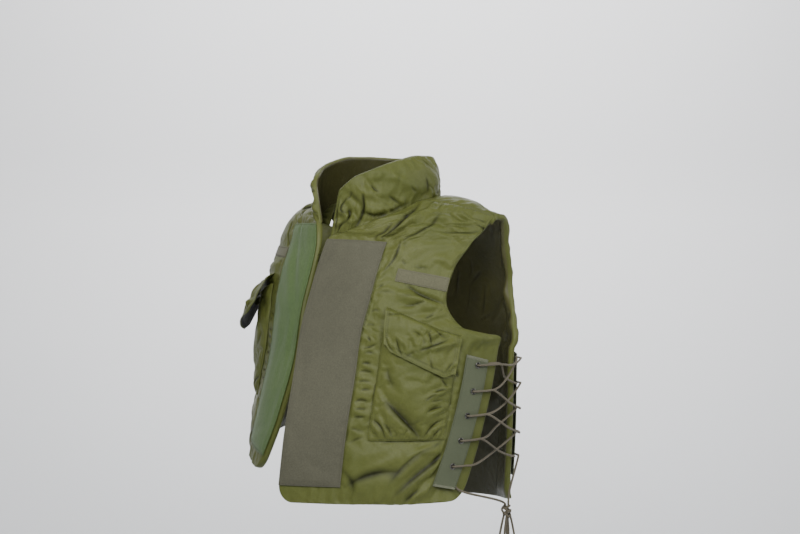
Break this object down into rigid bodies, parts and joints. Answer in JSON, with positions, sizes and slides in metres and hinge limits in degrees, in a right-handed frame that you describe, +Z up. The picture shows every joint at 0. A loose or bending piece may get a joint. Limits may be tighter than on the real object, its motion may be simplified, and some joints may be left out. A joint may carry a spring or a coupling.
{
  "type": "flak vest",
  "caption": "Padded nylon flak vest worn open, with a stand collar, two flapped front pockets, wide front fastener panels and criss-cross laced sides.",
  "frame": {"origin": "middle of the neck opening, level with the shoulder seams, where the vest hangs on the wearer's shoulders", "axes": "+Z up, -Y the way the wearer faces, +X towards the wearer's left"},
  "size_m": [0.5543, 0.4343, 0.7523],
  "materials": {
    "nylon_shell": "olive green coated nylon with a soft shine",
    "grey_fastener": "matt grey-brown fastener pile, worn",
    "green_fastener": "matt faded green fastener hooks",
    "name_tape": "matt grey woven tape",
    "black_tape": "matt black fastener tape",
    "lacing_webbing": "grey-green flat webbing",
    "cord": "matt braided olive-grey cord",
    "eyelet_metal": "dark painted metal, worn at the rim"
  },
  "bodies": {
    "root": {"left_front": "nylon_shell", "right_front": "nylon_shell", "back_panel": "nylon_shell", "collar": "nylon_shell", "left_pocket": "nylon_shell", "right_pocket": "nylon_shell", "left_pocket_flap": "nylon_shell", "right_pocket_flap": "nylon_shell", "left_closure_panel": "grey_fastener", "right_closure_panel": "green_fastener", "left_name_tape": "name_tape", "right_name_tape": "name_tape", "right_flap_tape": "black_tape", "left_front_lace_strip": "lacing_webbing", "left_front_eyelet_1": "eyelet_metal", "left_front_eyelet_2": "eyelet_metal", "left_front_eyelet_3": "eyelet_metal", "left_front_eyelet_4": "eyelet_metal", "left_front_eyelet_5": "eyelet_metal", "left_back_lace_strip": "lacing_webbing", "left_back_eyelet_1": "eyelet_metal", "left_back_eyelet_2": "eyelet_metal", "left_back_eyelet_3": "eyelet_metal", "left_back_eyelet_4": "eyelet_metal", "left_back_eyelet_5": "eyelet_metal", "right_front_lace_strip": "lacing_webbing", "right_front_eyelet_1": "eyelet_metal", "right_front_eyelet_2": "eyelet_metal", "right_front_eyelet_3": "eyelet_metal", "right_front_eyelet_4": "eyelet_metal", "right_front_eyelet_5": "eyelet_metal", "right_back_lace_strip": "lacing_webbing", "right_back_eyelet_1": "eyelet_metal", "right_back_eyelet_2": "eyelet_metal", "right_back_eyelet_3": "eyelet_metal", "right_back_eyelet_4": "eyelet_metal", "right_back_eyelet_5": "eyelet_metal", "left_lace": "cord", "left_bow": "cord", "right_lace": "cord", "right_bow": "cord"}
  },
  "joints": []
}
